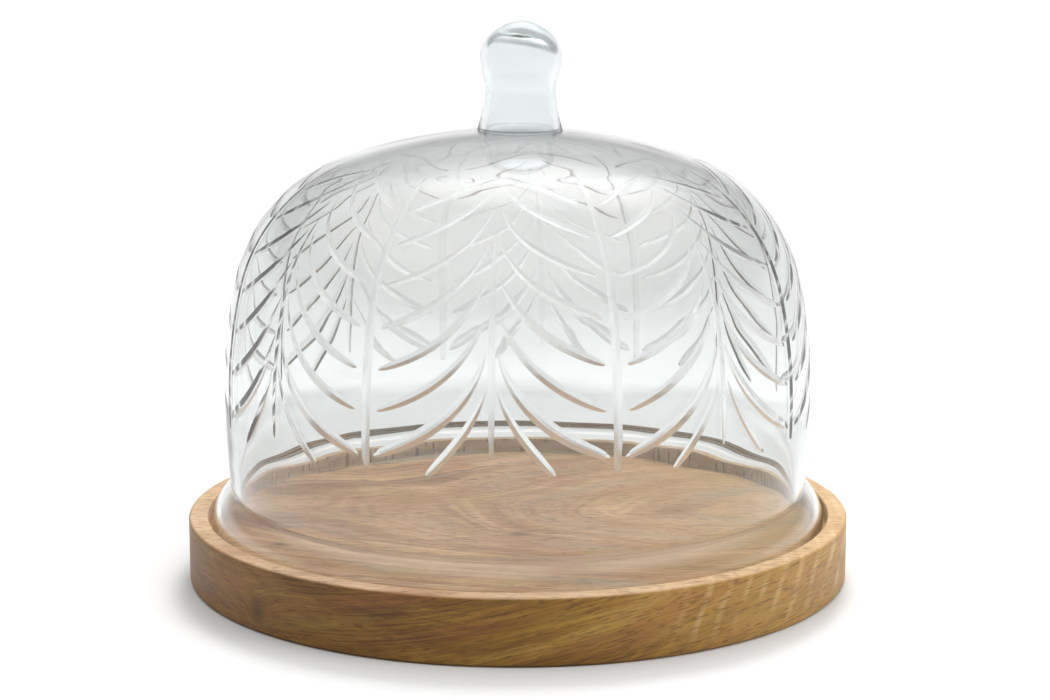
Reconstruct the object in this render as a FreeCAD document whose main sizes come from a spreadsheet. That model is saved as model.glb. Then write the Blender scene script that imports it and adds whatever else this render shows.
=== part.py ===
# Bell jar dome: a turned wooden base with a sunk floor, a blown glass cloche whose flared foot
# stands on that floor, and a hollow glass knob fused onto the crown.
# Millimetres, +Z up, origin at the centre of the base's underside.
import FreeCAD, Part
import math
import os
import Sketcher

DIMENSIONS = [
    # alias, value, what it is
    ("base_radius", 165.0, "outer radius of the wooden base"),
    ("base_height", 32.0, "thickness of the wooden base"),
    ("recess_radius", 155.6, "radius of the sunk floor"),
    ("recess_depth", 8.0, "depth of the sunk floor below the rim"),
    ("rim_round", 1.6, "rounding of the rim's outer edge"),
    ("rim_ease", 0.8, "rounding of the rim's inner edge"),
    ("under_chamfer", 1.5, "chamfer round the underside"),
    ("foot_clearance", 0.3, "gap under the glass foot"),
    ("wall", 4.0, "thickness of the glass wall"),
    ("foot_radius", 153.5, "widest outer radius of the flared foot"),
    ("foot_roll", 18.5, "outline radius of the foot's outward roll"),
    ("foot_roll_height", 28.5, "height of the centre of that roll"),
    ("belly_radius", 146.0, "widest outer radius of the dome"),
    ("belly_height", 95.0, "height of the dome's widest line"),
    ("lower_arc", 580.0, "outline radius below the widest line"),
    ("upper_arc", 234.0, "outline radius above the widest line"),
    ("shoulder_arc", 82.0, "outline radius of the shoulder"),
    ("crown_arc", 264.0, "outline radius of the crown"),
    ("crown_top", 222.5, "height of the top of the crown"),
    ("knob_wall", 3.2, "thickness of the knob's wall"),
    ("knob_foot_radius", 21.2, "outer radius of the knob where it meets the crown"),
    ("neck_radius", 17.2, "outer radius of the knob's neck at its narrowest"),
    ("neck_height", 241.0, "height of the neck's narrowest line"),
    ("neck_upper_arc", 18.0, "outline radius of the neck above that line"),
    ("bulb_radius", 20.0, "widest outer radius of the bulb"),
    ("bulb_height", 257.0, "height of the bulb's widest line"),
    ("bulb_arc", 13.0, "outline radius of the bulb above that line"),
    ("knob_top", 275.0, "height of the top of the knob"),
    ("cavity_arc", 6.0, "outline radius of the hollow's shoulder"),
    ("cavity_top", 266.0, "height of the top of the hollow"),
]
START, END, CENTRE = 1, 2, 3


def make_sheet(doc):
    """Spreadsheet of the driving dimensions; returns their values by alias."""
    sheet = doc.addObject("Spreadsheet::Sheet", "Dimensions")
    for row, (alias, value, words) in enumerate(DIMENSIONS, start=1):
        sheet.set(f"A{row}", words)
        sheet.set(f"B{row}", str(value))
        sheet.setAlias(f"B{row}", alias)
    doc.recompute()
    return {alias: float(sheet.get(alias)) for alias, value, words in DIMENSIONS}


def bound(formula):
    """The formula with every alias read from the spreadsheet."""
    aliases = {alias for alias, value, words in DIMENSIONS}
    terms = [f"Dimensions.{term}" if term in aliases else term for term in formula.split()]
    return " ".join(terms)


def make_body(doc, label):
    """An empty body whose label names the sub-part."""
    body = doc.addObject("PartDesign::Body", label)
    body.Label = label
    body.Placement = FreeCAD.Placement()
    return body


def make_sketch(body, name, plane):
    """An empty sketch on one of the body's own origin planes."""
    support = next(f for f in body.Origin.OriginFeatures if f.Role == plane)
    sketch = body.newObject("Sketcher::SketchObject", name)
    sketch.AttachmentSupport = [(support, "")]
    sketch.MapMode = "FlatFace"
    return sketch


class Outline:
    """A half-section in an upright sketch: x is the distance from the axis, y the height."""

    def __init__(self, body, name):
        self.sketch = make_sketch(body, name, "XZ_Plane")

    def line(self, start, end):
        """A straight edge between two points."""
        edge = Part.LineSegment(FreeCAD.Vector(*start, 0), FreeCAD.Vector(*end, 0))
        return self.sketch.addGeometry(edge, False)

    def arc(self, centre, first, last, turns_in=False):
        """An arc about a centre between two points, drawn counter-clockwise."""
        radius = math.dist(centre, first)
        angles = [math.atan2(y - centre[1], x - centre[0]) for x, y in (first, last)]
        if turns_in:
            angles = [angle % math.tau for angle in angles]
        circle = Part.Circle(FreeCAD.Vector(*centre, 0), FreeCAD.Vector(0, 0, 1), radius)
        return self.sketch.addGeometry(Part.ArcOfCircle(circle, *angles), False)

    def rule(self, kind, *places):
        """A constraint without a size."""
        self.sketch.addConstraint(Sketcher.Constraint(kind, *places))

    def size(self, formula, kind, *places):
        """A constraint whose size follows the spreadsheet."""
        index = self.sketch.addConstraint(Sketcher.Constraint(kind, *places))
        self.sketch.setExpression(f"Constraints[{index}]", bound(formula))

    def across(self, formula, edge, point, value):
        """Holds a point at a distance from the axis."""
        self.size(formula, "DistanceX", -1, 1, edge, point, value)

    def height(self, formula, edge, point, value):
        """Holds a point at a height."""
        self.size(formula, "DistanceY", -1, 1, edge, point, value)

    def on_axis(self, edge, point):
        """Holds a point on the axis of the object."""
        self.rule("PointOnObject", edge, point, -2)


def turn(body, outline):
    """Turns a closed half-section all the way round the axis."""
    revolution = body.newObject("PartDesign::Revolution", body.Label + "_turned")
    revolution.Profile = outline.sketch
    revolution.ReferenceAxis = (outline.sketch, ["V_Axis"])
    revolution.Angle = 360
    outline.sketch.Visibility = False
    return revolution


def two_circle_point(first, first_reach, second, second_reach):
    """The upper right point at two given distances from two centres."""
    gap = math.dist(first, second)
    along = (first_reach ** 2 - second_reach ** 2 + gap ** 2) / (2 * gap)
    off = math.sqrt(first_reach ** 2 - along ** 2)
    unit = ((second[0] - first[0]) / gap, (second[1] - first[1]) / gap)
    foot = (first[0] + along * unit[0], first[1] + along * unit[1])
    places = [(foot[0] - side * off * unit[1], foot[1] + side * off * unit[0]) for side in (1, -1)]
    return max(places)


def toward(centre, point, reach):
    """The point at a distance from a centre, on the ray through another point."""
    share = reach / math.dist(centre, point)
    return tuple(c + share * (p - c) for c, p in zip(centre, point))


def add_cloche(doc, d):
    """The glass dome: flared foot, belly, shoulder and crown, with one even wall."""
    body = make_body(doc, "glass_cloche")
    outline = Outline(body, "cloche_section")
    side = d["foot_radius"]
    lip_z = d["base_height"] - d["recess_depth"] + d["foot_clearance"] + d["wall"] / 2
    roll = (side - d["foot_roll"], d["foot_roll_height"])
    lower = (d["belly_radius"] - d["lower_arc"], d["belly_height"])
    upper = (d["belly_radius"] - d["upper_arc"], d["belly_height"])
    crown = (0.0, d["crown_top"] - d["crown_arc"])
    shoulder = two_circle_point(
        upper, d["upper_arc"] - d["shoulder_arc"], crown, d["crown_arc"] - d["shoulder_arc"]
    )

    def skin(inset):
        """The five arcs of one side of the wall, this far inside the outer outline."""
        belly = (d["belly_radius"] - inset, d["belly_height"])
        corner = two_circle_point(roll, d["foot_roll"] - inset, lower, d["lower_arc"] - inset)
        turn_up = toward(upper, shoulder, d["upper_arc"] - inset)
        turn_in = toward(crown, shoulder, d["crown_arc"] - inset)
        return [
            outline.arc(roll, (side - inset, roll[1]), corner),
            outline.arc(lower, corner, belly),
            outline.arc(upper, belly, turn_up),
            outline.arc(shoulder, turn_up, turn_in),
            outline.arc(crown, turn_in, (0.0, d["crown_top"] - inset)),
        ]

    wall = d["wall"]
    outer = skin(0.0)
    inner = skin(wall)
    outer_side = outline.line((side, lip_z), (side, roll[1]))
    inner_side = outline.line((side - wall, lip_z), (side - wall, roll[1]))
    lip = outline.arc((side - wall / 2, lip_z), (side - wall, lip_z), (side, lip_z), turns_in=True)
    axis = outline.line((0.0, d["crown_top"] - wall), (0.0, d["crown_top"]))

    for arcs, straight, lip_end in ((outer, outer_side, END), (inner, inner_side, START)):
        foot_arc, lower_arc, upper_arc, shoulder_arc, crown_arc = arcs
        outline.rule("Vertical", straight)
        outline.rule("Tangent", lip, lip_end, straight, START)
        outline.rule("Tangent", straight, END, foot_arc, START)
        outline.rule("Coincident", foot_arc, END, lower_arc, START)
        outline.rule("Tangent", lower_arc, END, upper_arc, START)
        outline.rule("Tangent", upper_arc, END, shoulder_arc, START)
        outline.rule("Tangent", shoulder_arc, END, crown_arc, START)
        outline.on_axis(crown_arc, END)
    for outer_arc, inner_arc in zip(outer, inner):
        outline.rule("Coincident", inner_arc, CENTRE, outer_arc, CENTRE)
    outline.rule("Coincident", axis, START, inner[4], END)
    outline.rule("Coincident", axis, END, outer[4], END)
    outline.on_axis(outer[4], CENTRE)

    lip_height = "base_height - recess_depth + foot_clearance + wall / 2"
    outline.height(lip_height, lip, CENTRE, lip_z)
    outline.across("foot_radius", outer_side, START, side)
    outline.across("foot_radius - wall", inner_side, START, side - wall)
    outline.height("foot_roll_height", outer[0], CENTRE, roll[1])
    outline.size("foot_roll", "Radius", outer[0], d["foot_roll"])
    outline.height("belly_height", outer[1], CENTRE, lower[1])
    outline.height("belly_height", outer[1], END, lower[1])
    outline.across("belly_radius", outer[1], END, d["belly_radius"])
    outline.size("lower_arc", "Radius", outer[1], d["lower_arc"])
    outline.size("upper_arc", "Radius", outer[2], d["upper_arc"])
    outline.size("shoulder_arc", "Radius", outer[3], d["shoulder_arc"])
    outline.size("crown_arc", "Radius", outer[4], d["crown_arc"])
    outline.height("crown_top", outer[4], END, d["crown_top"])
    outline.size("lower_arc - wall", "Radius", inner[1], d["lower_arc"] - wall)
    turn(body, outline)
    return body


def add_knob(doc, d):
    """The hollow knob: waisted neck and round bulb, open below where it is fused to the crown."""
    body = make_body(doc, "glass_knob")
    outline = Outline(body, "knob_section")
    crown = (0.0, d["crown_top"] - d["crown_arc"])
    wall = d["knob_wall"]
    foot_r = d["knob_foot_radius"]
    foot_z = crown[1] + math.sqrt(d["crown_arc"] ** 2 - foot_r ** 2)
    flare = foot_r - d["neck_radius"]
    neck_arc = (flare ** 2 + (d["neck_height"] - foot_z) ** 2) / (2 * flare)
    neck_low = (d["neck_radius"] + neck_arc, d["neck_height"])
    neck_high = (d["neck_radius"] + d["neck_upper_arc"], d["neck_height"])
    reach = neck_high[0] - d["bulb_radius"]
    rise = d["bulb_height"] - d["neck_height"]
    bulb_low_arc = (reach ** 2 + rise ** 2 - d["neck_upper_arc"] ** 2) / (
        2 * (d["neck_upper_arc"] - reach)
    )
    bulb_low = (d["bulb_radius"] - bulb_low_arc, d["bulb_height"])

    def cap_centre(side_r, side_arc, top):
        """Centre on the axis of the arc that closes a bulb above its side arc."""
        tall = top - d["bulb_height"]
        inward = side_r - side_arc
        radius = (inward ** 2 + tall ** 2 - side_arc ** 2) / (2 * (tall - side_arc))
        return (0.0, top - radius)

    def skin(inset, side_arc, top):
        """The five arcs of one side of the wall, from the fused foot to the axis."""
        widest = (d["bulb_radius"] - inset, d["bulb_height"])
        narrow = (d["neck_radius"] - inset, d["neck_height"])
        foot = two_circle_point(crown, d["crown_arc"], neck_low, neck_arc + inset)
        if foot[0] > foot_r + inset:
            foot = (2 * neck_low[0] - foot[0], foot[1])
        joint = toward(neck_high, bulb_low, d["neck_upper_arc"] + inset)
        bulb = (widest[0] - side_arc, widest[1])
        cap = cap_centre(widest[0], side_arc, top)
        closing = toward(cap, bulb, top - cap[1])
        return [
            outline.arc(neck_low, narrow, foot, turns_in=True),
            outline.arc(neck_high, joint, narrow, turns_in=True),
            outline.arc(bulb_low, joint, widest),
            outline.arc(bulb, widest, closing),
            outline.arc(cap, closing, (0.0, top)),
        ], foot

    outer, outer_foot = skin(0.0, d["bulb_arc"], d["knob_top"])
    inner, inner_foot = skin(wall, d["cavity_arc"], d["cavity_top"])
    seat = outline.arc(crown, outer_foot, inner_foot)
    axis = outline.line((0.0, d["cavity_top"]), (0.0, d["knob_top"]))

    for arcs, seat_end in ((outer, START), (inner, END)):
        neck_low_arc, neck_high_arc, bulb_low_edge, bulb_edge, cap_edge = arcs
        outline.rule("Coincident", seat, seat_end, neck_low_arc, END)
        outline.rule("Tangent", neck_low_arc, START, neck_high_arc, END)
        outline.rule("Tangent", neck_high_arc, START, bulb_low_edge, START)
        outline.rule("Tangent", bulb_low_edge, END, bulb_edge, START)
        outline.rule("Tangent", bulb_edge, END, cap_edge, START)
        outline.on_axis(cap_edge, CENTRE)
        outline.on_axis(cap_edge, END)
    for outer_arc, inner_arc in zip(outer[:3], inner[:3]):
        outline.rule("Coincident", inner_arc, CENTRE, outer_arc, CENTRE)
    outline.rule("Coincident", axis, START, inner[4], END)
    outline.rule("Coincident", axis, END, outer[4], END)
    outline.on_axis(seat, CENTRE)

    outline.height("crown_top - crown_arc", seat, CENTRE, crown[1])
    outline.size("crown_arc", "Radius", seat, d["crown_arc"])
    outline.across("knob_foot_radius", seat, START, foot_r)
    outline.across("neck_radius", outer[0], START, d["neck_radius"])
    outline.height("neck_height", outer[0], START, d["neck_height"])
    outline.height("neck_height", outer[0], CENTRE, d["neck_height"])
    outline.size("neck_upper_arc", "Radius", outer[1], d["neck_upper_arc"])
    outline.across("bulb_radius", outer[2], END, d["bulb_radius"])
    outline.height("bulb_height", outer[2], END, d["bulb_height"])
    outline.height("bulb_height", outer[2], CENTRE, d["bulb_height"])
    outline.size("bulb_arc", "Radius", outer[3], d["bulb_arc"])
    outline.height("knob_top", outer[4], END, d["knob_top"])
    outline.across("neck_radius - knob_wall", inner[0], START, d["neck_radius"] - wall)
    outline.size("cavity_arc", "Radius", inner[3], d["cavity_arc"])
    outline.height("cavity_top", inner[4], END, d["cavity_top"])
    turn(body, outline)
    return body


def disc_sketch(body, name, radius_formula, radius):
    """A circle about the axis on the body's ground plane."""
    sketch = make_sketch(body, name, "XY_Plane")
    circle = Part.Circle(FreeCAD.Vector(0, 0, 0), FreeCAD.Vector(0, 0, 1), radius)
    edge = sketch.addGeometry(circle, False)
    sketch.addConstraint(Sketcher.Constraint("Coincident", edge, CENTRE, -1, 1))
    index = sketch.addConstraint(Sketcher.Constraint("Radius", edge, radius))
    sketch.setExpression(f"Constraints[{index}]", bound(radius_formula))
    sketch.Visibility = False
    return sketch


def rim_edge(feature, radius, height):
    """Name of the circular edge with this radius at this height."""
    for number, edge in enumerate(feature.Shape.Edges, start=1):
        curve = edge.Curve
        if not isinstance(curve, Part.Circle):
            continue
        if abs(curve.Radius - radius) < 0.01 and abs(curve.Center.z - height) < 0.01:
            return f"Edge{number}"
    raise ValueError(f"no edge of radius {radius} at height {height}")


def add_base(doc, d):
    """The wooden base: a disc with a sunk floor, eased edges and a flat underside."""
    body = make_body(doc, "wooden_base")
    disc = body.newObject("PartDesign::Pad", "base_disc")
    disc.Profile = disc_sketch(body, "base_outline", "base_radius", d["base_radius"])
    disc.setExpression("Length", bound("base_height"))
    doc.recompute()
    blank_volume = disc.Shape.Volume

    outline = disc_sketch(body, "recess_outline", "recess_radius", d["recess_radius"])
    outline.setExpression(".AttachmentOffset.Base.z", bound("base_height"))
    recess = body.newObject("PartDesign::Pocket", "recess")
    recess.Profile = outline
    recess.setExpression("Length", bound("recess_depth"))
    doc.recompute()
    cut_volume = math.pi * d["recess_radius"] ** 2 * d["recess_depth"]
    if abs(blank_volume - recess.Shape.Volume - cut_volume) > 1.0:
        raise ValueError("the recess did not cut the disc")

    rounding = body.newObject("PartDesign::Fillet", "rim_outer_round")
    rounding.Base = (recess, [rim_edge(recess, d["base_radius"], d["base_height"])])
    rounding.setExpression("Radius", bound("rim_round"))
    doc.recompute()

    easing = body.newObject("PartDesign::Fillet", "rim_inner_round")
    easing.Base = (rounding, [rim_edge(rounding, d["recess_radius"], d["base_height"])])
    easing.setExpression("Radius", bound("rim_ease"))
    doc.recompute()

    chamfer = body.newObject("PartDesign::Chamfer", "underside_chamfer")
    chamfer.Base = (easing, [rim_edge(easing, d["base_radius"], 0.0)])
    chamfer.setExpression("Size", bound("under_chamfer"))
    return body


def check_document(doc, bodies):
    """Stops on any failed object, unsolved sketch or unsound shape."""
    for item in doc.Objects:
        if {"Invalid", "Error"} & set(item.State):
            raise RuntimeError(f"{item.Label}: {item.State}")
    for sketch in doc.findObjects("Sketcher::SketchObject"):
        if sketch.solve() != 0:
            raise RuntimeError(f"{sketch.Label} is not solved")
    for body in bodies:
        shape = body.Shape
        if shape.isNull() or not shape.isValid() or len(shape.Solids) != 1:
            raise RuntimeError(f"{body.Label} is not one valid solid")


def main():
    doc = FreeCAD.newDocument("BellJarDome")
    d = make_sheet(doc)
    bodies = [add_base(doc, d), add_cloche(doc, d), add_knob(doc, d)]
    doc.recompute()
    check_document(doc, bodies)
    os.makedirs("parts", exist_ok=True)
    for body in bodies:
        body.Shape.exportStep(f"parts/{body.Label}.step")
        print(f"{body.Label}: {body.Shape.Volume / 1000:.1f} cm3")


main()
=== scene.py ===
"""Looks of the bell jar dome: cut glass cloche, hollow glass knob and a turned wooden base."""
import math
import bpy
import numpy as np
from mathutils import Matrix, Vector, noise
from mathutils.geometry import delaunay_2d_cdt


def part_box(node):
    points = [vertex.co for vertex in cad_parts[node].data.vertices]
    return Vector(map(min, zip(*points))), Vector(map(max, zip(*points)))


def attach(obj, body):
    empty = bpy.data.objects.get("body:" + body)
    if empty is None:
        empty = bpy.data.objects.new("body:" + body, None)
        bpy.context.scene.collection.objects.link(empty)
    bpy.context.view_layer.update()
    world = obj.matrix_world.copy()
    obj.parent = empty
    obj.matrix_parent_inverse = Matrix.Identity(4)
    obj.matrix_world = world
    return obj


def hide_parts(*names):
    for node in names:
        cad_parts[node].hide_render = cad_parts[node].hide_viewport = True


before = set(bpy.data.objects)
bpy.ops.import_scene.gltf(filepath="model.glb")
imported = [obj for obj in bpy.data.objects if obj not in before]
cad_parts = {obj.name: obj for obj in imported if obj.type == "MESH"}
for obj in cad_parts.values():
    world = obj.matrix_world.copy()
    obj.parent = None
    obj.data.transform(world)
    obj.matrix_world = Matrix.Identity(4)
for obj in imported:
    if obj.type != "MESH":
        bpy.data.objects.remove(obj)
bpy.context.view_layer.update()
MM = 0.001

# ---------------------------------------------------------------- sizes from the frame
BASE_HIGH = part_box("wooden_base")[1]
CLOCHE_LOW, CLOCHE_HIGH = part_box("glass_cloche")
KNOB_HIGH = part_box("glass_knob")[1]
BASE_RADIUS = BASE_HIGH.x
BASE_TOP = BASE_HIGH.z
FOOT_RADIUS = CLOCHE_HIGH.x
FOOT_BOTTOM = CLOCHE_LOW.z
CROWN_TOP = CLOCHE_HIGH.z
KNOB_TOP = KNOB_HIGH.z

# ---------------------------------------------------------------- design sizes, as in the CAD
FOOT_CLEARANCE = 0.3 * MM
FLOOR_Z = FOOT_BOTTOM - FOOT_CLEARANCE
RECESS_RADIUS = 155.6 * MM
RIM_ROUND = 1.6 * MM
RIM_EASE = 0.8 * MM
UNDER_CHAMFER = 1.5 * MM
WALL = 4.0 * MM
FOOT_ROLL = 18.5 * MM
FOOT_ROLL_Z = 28.5 * MM
BELLY_RADIUS = 146.0 * MM
BELLY_Z = 95.0 * MM
LOWER_ARC = 580.0 * MM
UPPER_ARC = 234.0 * MM
SHOULDER_ARC = 82.0 * MM
CROWN_ARC = 264.0 * MM

# ---------------------------------------------------------------- cut pattern
# Places in the pattern are a turn about the axis and a distance up the wall, which is measured
# from the corner where the foot's roll meets the wall.
MOTIFS = 8
FRONT_TURN = math.radians(-5.0)      # the front motif stands a little left of the middle
SECTOR = math.tau / MOTIFS
STEM_TOP = 187.0 * MM
STEM_BOTTOM = 37.0 * MM
STEM_WIDTH = 4.4 * MM
STEM_SWELL = (0.40, 0.14)            # a taper's two powers, at its start and at its end
SPINE_TOP = 150.0 * MM
SPINE_BOTTOM = 44.0 * MM
SPINE_WIDTH = 3.2 * MM
SPINE_SWELL = (0.55, 0.30)
LEAF_SWELL = (0.80, 0.35)
# the cuts run shallower over the shoulder
SHOULDER_START = 145.0 * MM
SHOULDER_SPAN = 30.0 * MM
SHOULDER_EASE = 0.62

# the cut field on the wall, and the steps round the axis at its edges
FIELD_LOW = 20.0 * MM
FIELD_HIGH = 200.0 * MM
ROUND = 24 * MOTIFS
EDGE_MARGIN = 0.40                   # no grid points this near the sides, in steps
CUT_MARGIN = 0.33                    # nor this near a cut
FLAT_TOLERANCE = 1e-5

# ---------------------------------------------------------------- waviness of the blown wall
SLOW_WAVES = ((2, 31), (5, 19), (9, 47), (14, 27), (21, 64))         # round, along in rad/m
STREAKS = ((3, 330, 0.12), (7, 215, 0.16), (4, 410, 0.07))           # round, along, share
OUTER_RIPPLE = (3.0, 0.05 * MM)      # seed and size
INNER_RIPPLE = (8.0, 0.07 * MM)
# towards the crown both die away: where, over what length, and the least share that is left
WAVES_END = (230 * MM, 60 * MM, 0.15)
STREAKS_END = (205 * MM, 30 * MM, 0.10)
# the wheel's stray: waves round the axis, size and phase
TURN_STRAY = ((3, math.radians(0.35), 0.7), (5, math.radians(0.25), 2.1))
HIGH_SLIDE = 2.2 * MM                # from motif to motif, on the upper wall only
UPPER_WALL = (60 * MM, 40 * MM)      # where that sets in, and over what length
SLIDE_STRAY = 0.8 * MM
STRAY_IN = (FIELD_LOW, 25 * MM)
STRAY_OUT = (FIELD_HIGH, 12 * MM)


def rise(value, start, span):
    """Nothing up to start, then a straight rise to one over the span."""
    return np.clip((value - start) / span, 0, 1)


def fall(value, end, span, least=0.0):
    """One, then a straight fall over the span towards nothing at end, but not under the least."""
    return np.clip((end - value) / span, least, 1)


def circle_meet(first, first_reach, second, second_reach):
    """The point furthest from the axis at two given distances from two centres."""
    gap = math.dist(first, second)
    along = (first_reach ** 2 - second_reach ** 2 + gap ** 2) / (2 * gap)
    off = math.sqrt(first_reach ** 2 - along ** 2)
    unit = ((second[0] - first[0]) / gap, (second[1] - first[1]) / gap)
    base = (first[0] + along * unit[0], first[1] + along * unit[1])
    return max((base[0] - side * off * unit[1], base[1] + side * off * unit[0])
               for side in (1, -1))


class Profile:
    """A half-section walked along its length: place, outward normal and length so far."""

    def __init__(self):
        self.pieces = []

    def arc(self, centre, radius, start, end, step, outward=1.0):
        """An arc between two angles; outward is -1 where the normal points at the centre."""
        count = max(2, int(math.ceil(abs(end - start) * radius / step)) + 1)
        angle = np.linspace(start, end, count)
        spoke = np.stack([np.cos(angle), np.sin(angle)], axis=1)
        self.pieces.append((np.array(centre) + radius * spoke, outward * spoke))

    def line(self, start, end, normal, step):
        """A straight run with one normal."""
        count = max(2, int(math.ceil(math.dist(start, end) / step)) + 1)
        share = np.linspace(0.0, 1.0, count)[:, None]
        places = np.array(start) * (1 - share) + np.array(end) * share
        self.pieces.append((places, np.tile(np.array(normal, float), (count, 1))))


def wall_angles(inset):
    """The foot's roll and the dome's four arcs, this far inside the outer skin.

    Each is a centre, a radius and two angles.
    """
    roll = (FOOT_RADIUS - FOOT_ROLL, FOOT_ROLL_Z)
    lower = (BELLY_RADIUS - LOWER_ARC, BELLY_Z)
    upper = (BELLY_RADIUS - UPPER_ARC, BELLY_Z)
    crown = (0.0, CROWN_TOP - CROWN_ARC)
    shoulder = circle_meet(upper, UPPER_ARC - SHOULDER_ARC, crown, CROWN_ARC - SHOULDER_ARC)
    corner = circle_meet(roll, FOOT_ROLL - inset, lower, LOWER_ARC - inset)
    first_turn = math.atan2(shoulder[1] - upper[1], shoulder[0] - upper[0])
    second_turn = math.atan2(shoulder[1] - crown[1], shoulder[0] - crown[0])
    roll_end = math.atan2(corner[1] - roll[1], corner[0] - roll[0])
    lower_start = math.atan2(corner[1] - lower[1], corner[0] - lower[0])
    dome = [
        (lower, LOWER_ARC - inset, lower_start, 0.0),
        (upper, UPPER_ARC - inset, 0.0, first_turn),
        (shoulder, SHOULDER_ARC - inset, first_turn, second_turn),
        (crown, CROWN_ARC - inset, second_turn, math.pi / 2),
    ]
    return (roll, FOOT_ROLL - inset, 0.0, roll_end), dome


class WallMap:
    """A skin of the dome as a fine polyline, read by distance along the wall.

    In its flat map a step up the wall is divided by the radius there, so shapes keep their angles.
    """

    STEP = 0.25 * MM
    SAME_PLACE = 1e-9
    LEAST_RADIUS = 1e-6

    def __init__(self, inset):
        profile = Profile()
        for centre, radius, start, end in wall_angles(inset)[1]:
            profile.arc(centre, radius, start, end, self.STEP)
        places = np.concatenate([piece[0] for piece in profile.pieces])
        normals = np.concatenate([piece[1] for piece in profile.pieces])
        steps = np.hypot(*np.diff(places, axis=0).T)
        keep = np.concatenate([[True], steps > self.SAME_PLACE])
        self.r, self.z = places[keep].T
        self.nr, self.nz = normals[keep].T
        steps = np.hypot(np.diff(self.r), np.diff(self.z))
        self.s = np.concatenate([[0.0], np.cumsum(steps)])
        middle = np.maximum((self.r[1:] + self.r[:-1]) / 2, self.LEAST_RADIUS)
        self.v = np.concatenate([[0.0], np.cumsum(steps / middle)])

    def at(self, s):
        """Radius, height and outward normal at a distance along the wall."""
        return [np.interp(s, self.s, column) for column in (self.r, self.z, self.nr, self.nz)]

    def v_of(self, s):
        """Height in the flat map of a distance along the wall."""
        return np.interp(s, self.s, self.v)

    def s_of(self, v):
        """Distance along the wall of a height in the flat map."""
        return np.interp(v, self.v, self.s)


OUTER = WallMap(0.0)
INNER = WallMap(WALL)


def ripple(theta, s, seed, size):
    """Slow waviness and level streaks of blown glass, both dying away towards the crown."""
    total = np.zeros(np.broadcast(theta, s).shape)
    for k, (around, along) in enumerate(SLOW_WAVES):
        phase = seed * 1.7 + k * 2.3
        wave = np.sin(around * theta + phase) * np.cos(along * s + 1.3 * phase)
        total = total + wave / (1 + 0.6 * k)
    streaks = np.zeros(total.shape)
    for around, along, share in STREAKS:
        phase = seed * 2.9 + along
        streaks = streaks + share * np.cos(along * s + phase + 0.8 * np.sin(around * theta + seed))
    return size * (total * fall(s, *WAVES_END) + streaks * fall(s, *STREAKS_END))


def hand_shift(theta, s):
    """How far the hand-held wheel strayed: a turn and a slide of the cut, fading at both ends."""
    fade = rise(s, *STRAY_IN) * fall(s, *STRAY_OUT)
    high = rise(s, *UPPER_WALL)
    turn = sum(size * np.sin(waves * theta + phase) for waves, size, phase in TURN_STRAY)
    from_front = np.sin(5 * (theta - FRONT_TURN))
    slide = HIGH_SLIDE * high * from_front + SLIDE_STRAY * np.sin(3 * theta + 1.0)
    return fade * turn, fade * slide


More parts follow.
